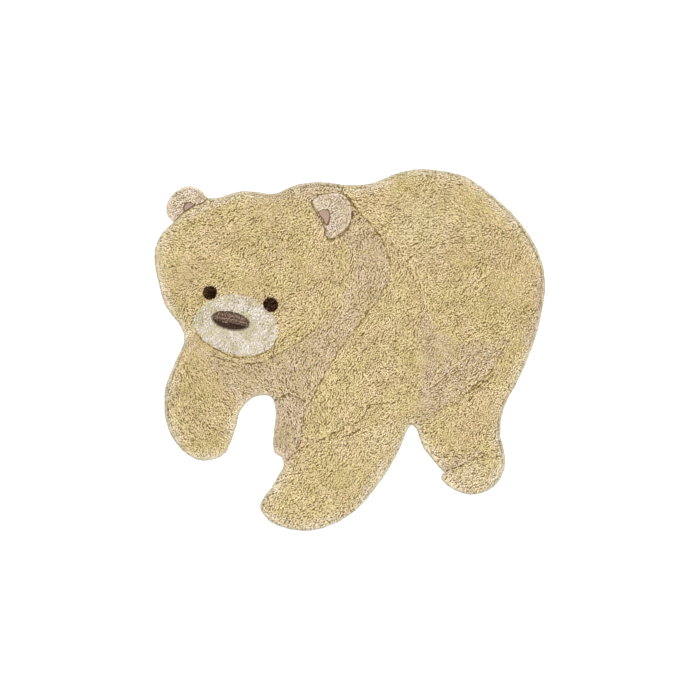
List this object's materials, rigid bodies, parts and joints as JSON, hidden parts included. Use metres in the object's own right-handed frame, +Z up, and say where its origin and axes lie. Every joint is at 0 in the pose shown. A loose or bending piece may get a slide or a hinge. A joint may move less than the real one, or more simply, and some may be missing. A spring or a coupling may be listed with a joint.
{
  "type": "bear shaped kids rug",
  "caption": "Flat cut-pile tufted floor rug in the outline of a walking bear, with carved pile lines, a tufted face and two small sewn-on ears, for a child's room.",
  "frame": {"origin": "on the floor, under the middle of the rug's bounding box", "axes": "+X towards the bear's rump, -X towards its head, +Y towards its back, +Z up out of the pile"},
  "size_m": [1.1898, 1.1018, 0.0245],
  "materials": {
    "body_pile": "matt honey cut cotton pile",
    "ear_pile": "matt pale beige cut cotton pile",
    "inner_ear": "smooth mauve brushed cloth",
    "shade_pile": "matt rose-beige cut cotton pile, in the shaded fields",
    "muzzle_pile": "matt cream cut cotton pile",
    "eye_pile": "matt dark brown cut cotton pile",
    "nose_pile": "matt brown cut cotton pile",
    "backing_cloth": "plain-woven undyed cotton lining cloth"
  },
  "bodies": {
    "root": {"rug": "body_pile", "ear_near": "ear_pile", "ear_far": "ear_pile", "inner_ear_near": "inner_ear", "inner_ear_far": "inner_ear"}
  },
  "joints": []
}
